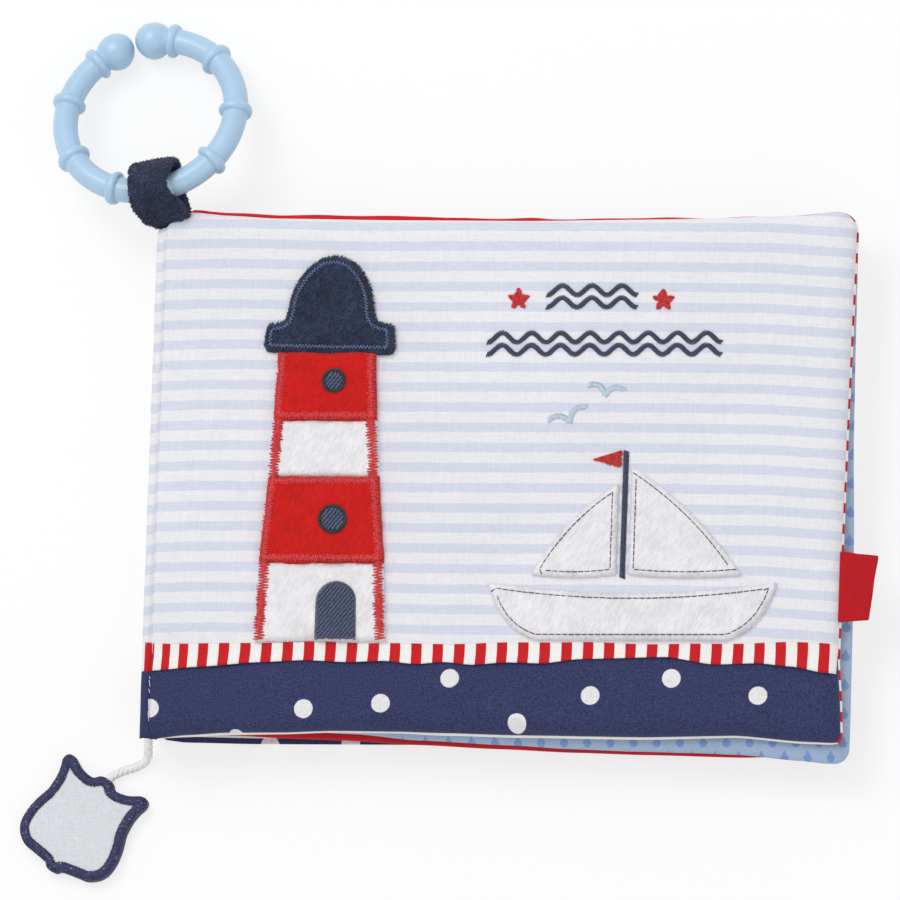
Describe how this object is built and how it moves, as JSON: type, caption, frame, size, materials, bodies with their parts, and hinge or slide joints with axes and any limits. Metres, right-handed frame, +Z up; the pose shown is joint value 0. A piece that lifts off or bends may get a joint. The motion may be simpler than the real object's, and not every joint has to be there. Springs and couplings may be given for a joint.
{
  "type": "baby photo album",
  "caption": "soft baby photo album with padded fabric covers, a sewn-on lighthouse and sailing boat, clear photo pockets, a plastic hanging ring and a badge on a cord",
  "frame": {"origin": "centre of the back cover's underside", "axes": "+X from the spine towards the fore edge, +Y from the foot towards the head of the covers, +Z up, out of the front cover"},
  "size_m": [0.2459, 0.2456, 0.0292],
  "materials": {
    "stripe": "matte woven cotton, pale blue and white stripes",
    "ribbon": "matte woven cotton, red and white stripes",
    "navy_dot": "matte woven cotton, white dots",
    "lining": "matte woven cotton, red and white stripes",
    "back_lining": "matte woven cotton",
    "drops": "matte woven cotton, blue drops",
    "red": "matte woven cotton",
    "wadding": "soft polyester wadding",
    "film": "clear soft film",
    "navy_plush": "short soft pile",
    "red_plush": "short soft pile",
    "white_plush": "short soft pile",
    "slate_thread": "satin stitch embroidery",
    "navy_thread": "satin stitch embroidery",
    "red_thread": "satin stitch embroidery",
    "woven_tab": "woven satin band",
    "ring": "smooth moulded plastic",
    "cord": "braided cord",
    "badge_face": "woven satin",
    "badge_border": "dense embroidered border"
  },
  "bodies": {
    "back_cover": {"back_striped_panel": "stripe", "back_striped_ribbon": "ribbon", "back_dotted_band": "navy_dot", "back_wadding": "wadding", "back_lining": "back_lining", "back_photo_pocket": "film", "hanging_loop_tail": "navy_plush"},
    "spine": {"spine_striped_panel": "stripe", "spine_striped_ribbon": "ribbon", "spine_dotted_band": "navy_dot", "spine_wadding": "wadding", "spine_lining": "lining"},
    "front_cover": {"front_striped_panel": "stripe", "front_striped_ribbon": "ribbon", "front_dotted_band": "navy_dot", "front_wadding": "wadding", "front_lining": "lining", "front_photo_pocket": "film", "lighthouse_lower_white_block": "white_plush", "lighthouse_lower_red_block": "red_plush", "lighthouse_upper_white_block": "white_plush", "lighthouse_upper_red_block": "red_plush", "lighthouse_dome": "navy_plush", "lighthouse_lower_window": "slate_thread", "lighthouse_upper_window": "slate_thread", "lighthouse_door": "slate_thread", "boat_hull": "white_plush", "boat_mast": "navy_thread", "boat_mainsail": "white_plush", "boat_jib": "white_plush", "boat_pennant": "red_thread", "left_star": "red_thread", "right_star": "red_thread", "woven_tab": "woven_tab"},
    "upper_leaf": {"upper_leaf_front_cloth": "drops", "upper_leaf_back_cloth": "drops", "upper_leaf_wadding": "wadding", "upper_leaf_front_pocket": "film", "upper_leaf_back_pocket": "film"},
    "lower_leaf": {"lower_leaf_front_cloth": "red", "lower_leaf_back_cloth": "red", "lower_leaf_wadding": "wadding", "lower_leaf_front_pocket": "film", "lower_leaf_back_pocket": "film"},
    "hang_loop": {"hanging_loop_eye": "navy_plush"},
    "ring": {"hanging_ring": "ring"},
    "badge": {"badge_cord": "cord", "badge_face": "badge_face", "badge_border": "badge_border", "badge_back": "badge_border"}
  },
  "joints": [
    {"name": "spine_fold", "type": "hinge", "parent": "back_cover", "child": "spine", "pos_m": [-0.1, 0, 0], "axis": [0, -1, 0], "range_deg": [0, 85]},
    {"name": "cover_fold", "type": "hinge", "parent": "spine", "child": "front_cover", "pos_m": [-0.1, 0, 0.021], "axis": [0, -1, 0], "range_deg": [0, 85]},
    {"name": "upper_leaf_turn", "type": "hinge", "parent": "spine", "child": "upper_leaf", "pos_m": [-0.0966, 0, 0.013], "axis": [0, -1, 0], "range_deg": [0, 28.4]},
    {"name": "lower_leaf_turn", "type": "hinge", "parent": "spine", "child": "lower_leaf", "pos_m": [-0.0966, 0, 0.008], "axis": [0, -1, 0], "range_deg": [-28.4, 0]},
    {"name": "ring_lift", "type": "hinge", "parent": "back_cover", "child": "hang_loop", "pos_m": [-0.10084, 0.08236, 0.02243], "axis": [0.9841, 0.1768, 0.0181], "range_deg": [0, 95]},
    {"name": "ring_turn", "type": "hinge", "parent": "hang_loop", "child": "ring", "pos_m": [-0.1048, 0.10525, 0.0139], "axis": [-0.0777, 0.3365, 0.9385], "range_deg": [-135, 135]},
    {"name": "badge_swing", "type": "hinge", "parent": "back_cover", "child": "badge", "pos_m": [-0.0995, -0.0752, 0.002], "axis": [0, 0, 1], "range_deg": [0, 60]}
  ],
  "couplings": [
    {"joint": "cover_fold", "follows": "spine_fold", "ratio": 1},
    {"joint": "upper_leaf_turn", "follows": "spine_fold", "ratio": 0.3333},
    {"joint": "lower_leaf_turn", "follows": "spine_fold", "ratio": -0.3333}
  ]
}
